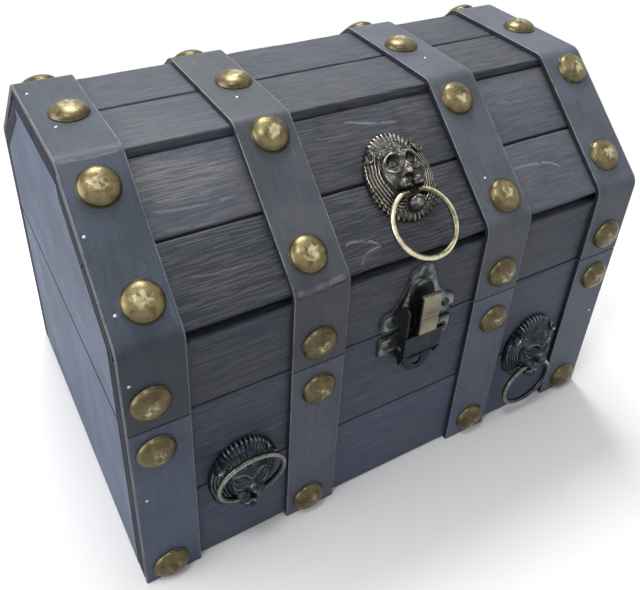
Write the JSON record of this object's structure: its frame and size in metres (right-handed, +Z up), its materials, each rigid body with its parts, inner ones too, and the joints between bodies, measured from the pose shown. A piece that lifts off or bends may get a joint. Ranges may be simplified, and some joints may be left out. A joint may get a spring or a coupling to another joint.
{
  "type": "treasure chest",
  "caption": "Small grey wooden treasure chest with a faceted plank lid, dark bands with domed brass studs, lion-head ring pulls and a front latch.",
  "frame": {"origin": "middle of the underside of the case, in the plane that it rests on", "axes": "+X to the right along the chest's length seen from the front, -Y out of the front, +Z up"},
  "size_m": [0.28, 0.2102, 0.2061],
  "materials": {
    "plank_wood": "dark grey stain, rubbed",
    "end_wood": "grey stain, rubbed",
    "band": "dark grey, smooth, worn at the edges",
    "stud_brass": "antique, hammered",
    "lion_brass": "antique, dark in the hollows",
    "ring_brass": "polished",
    "latch_brass": "antique with a bright pad",
    "hinge_brass": "antique",
    "screw_brass": "antique, bright heads"
  },
  "bodies": {
    "base": {"base_back_band_1": "band", "base_back_band_2": "band", "base_back_band_3": "band", "base_back_band_4": "band", "base_back_lower_plank": "plank_wood", "base_back_upper_plank": "plank_wood", "base_floor_board": "plank_wood", "base_front_band_1": "band", "base_front_band_2": "band", "base_front_band_3": "band", "base_front_band_4": "band", "base_front_lower_plank": "plank_wood", "base_front_upper_plank": "plank_wood", "base_left_end_board": "end_wood", "base_right_end_board": "end_wood", "base_studs": "stud_brass", "hinge_base_screws": "screw_brass", "hinge_left_base_leaf": "hinge_brass", "hinge_left_pin": "hinge_brass", "hinge_right_base_leaf": "hinge_brass", "hinge_right_pin": "hinge_brass", "latch_base_plate": "latch_brass", "latch_base_screws": "screw_brass", "latch_pin": "latch_brass", "left_lion_head": "lion_brass", "right_lion_head": "lion_brass"},
    "lid": {"hinge_left_lid_leaf": "hinge_brass", "hinge_lid_screws": "screw_brass", "hinge_right_lid_leaf": "hinge_brass", "latch_catch": "latch_brass", "latch_catch_screws": "screw_brass", "lid_back_skirt_plank": "plank_wood", "lid_back_slope_lower_plank": "plank_wood", "lid_back_slope_upper_plank": "plank_wood", "lid_band_1": "band", "lid_band_2": "band", "lid_band_3": "band", "lid_band_4": "band", "lid_front_skirt_plank": "plank_wood", "lid_front_slope_lower_plank": "plank_wood", "lid_front_slope_upper_plank": "plank_wood", "lid_left_end_board": "end_wood", "lid_lion_head": "lion_brass", "lid_right_end_board": "end_wood", "lid_studs": "stud_brass", "lid_top_back_plank": "plank_wood", "lid_top_front_plank": "plank_wood"},
    "latch_lever": {"latch_lever": "latch_brass"},
    "left_lion_ring": {"left_lion_ring": "ring_brass"},
    "right_lion_ring": {"right_lion_ring": "ring_brass"},
    "lid_lion_ring": {"lid_lion_ring": "ring_brass"}
  },
  "joints": [
    {"name": "lid_hinge", "type": "hinge", "parent": "base", "child": "lid", "pos_m": [0, 0.0974, 0.1046], "axis": [-1, 0, 0], "range_deg": [0, 105]},
    {"name": "latch_lever_pivot", "type": "hinge", "parent": "base", "child": "latch_lever", "pos_m": [0.0035, -0.0982, 0.0953], "axis": [1, 0, 0], "range_deg": [0, 10]},
    {"name": "left_ring_swing", "type": "hinge", "parent": "base", "child": "left_lion_ring", "pos_m": [-0.089, -0.1022, 0.0425], "axis": [1, 0, 0], "range_deg": [-2, 178]},
    {"name": "right_ring_swing", "type": "hinge", "parent": "base", "child": "right_lion_ring", "pos_m": [0.089, -0.1022, 0.0425], "axis": [-1, 0, 0], "range_deg": [-8, 174]},
    {"name": "lid_ring_swing", "type": "hinge", "parent": "lid", "child": "lid_lion_ring", "pos_m": [0.0035, -0.07903, 0.17129], "axis": [-1, 0, 0], "range_deg": [-8, 172]}
  ]
}
